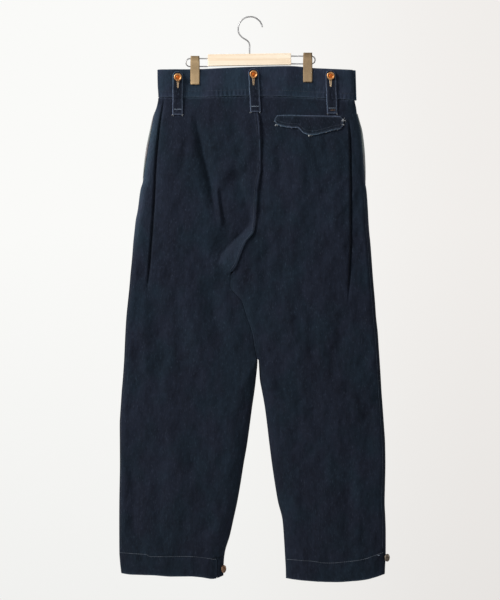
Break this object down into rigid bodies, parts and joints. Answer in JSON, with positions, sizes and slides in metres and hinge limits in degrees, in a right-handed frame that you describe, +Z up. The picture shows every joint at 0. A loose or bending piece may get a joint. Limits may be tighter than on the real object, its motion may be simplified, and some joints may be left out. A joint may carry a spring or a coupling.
{
  "type": "denim trousers on a clip hanger",
  "caption": "Dark denim trousers hung flat by the waistband from a clip hanger, with buttoned belt loops, a pointed back pocket flap, wide legs and buttoned hems.",
  "frame": {"origin": "inner crest of the hook, where a rail carries the hanger", "axes": "+Z up, -Y out of the back of the trousers, which is the side shown, and +X towards the wearer's right"},
  "size_m": [0.5399, 0.0619, 1.127],
  "materials": {
    "denim": "dark indigo twill, rinsed, with pale flecks and lighter worn edges",
    "buttons": "copper coloured, worn, with a raised rim",
    "clips": "pale bronze sheet, satin",
    "wire": "drawn wire, satin",
    "bar": "pale planed wood, clear and dull"
  },
  "bodies": {
    "root": {"back_left_seat": "denim", "back_left_leg": "denim", "back_left_hem": "denim", "back_right_seat": "denim", "back_right_leg": "denim", "back_right_hem": "denim", "front_left_seat": "denim", "front_left_leg": "denim", "front_left_hem": "denim", "front_right_seat": "denim", "front_right_leg": "denim", "front_right_hem": "denim", "hem_vent_strip_left": "denim", "waistband_back": "denim", "waistband_front_left": "denim", "waistband_front_right": "denim", "back_loop_left": "denim", "back_loop_centre": "denim", "back_loop_right": "denim", "front_loop_left": "denim", "front_loop_right": "denim", "fly_placket": "denim", "pocket_flap": "denim", "side_pocket_edge_left": "denim", "side_pocket_edge_right": "denim", "back_loop_left_button": "buttons", "back_loop_centre_button": "buttons", "back_loop_right_button": "buttons", "front_loop_left_button": "buttons", "front_loop_right_button": "buttons", "waist_button": "buttons", "hem_button_left": "buttons", "hem_button_right": "buttons", "hanger_bar": "bar", "hanger_hook": "wire", "clip_barrel_left": "clips", "clip_jaw_back_left": "clips", "clip_jaw_front_left": "clips", "clip_wire_left": "wire", "clip_barrel_right": "clips", "clip_jaw_back_right": "clips", "clip_jaw_front_right": "clips", "clip_wire_right": "wire"}
  },
  "joints": []
}
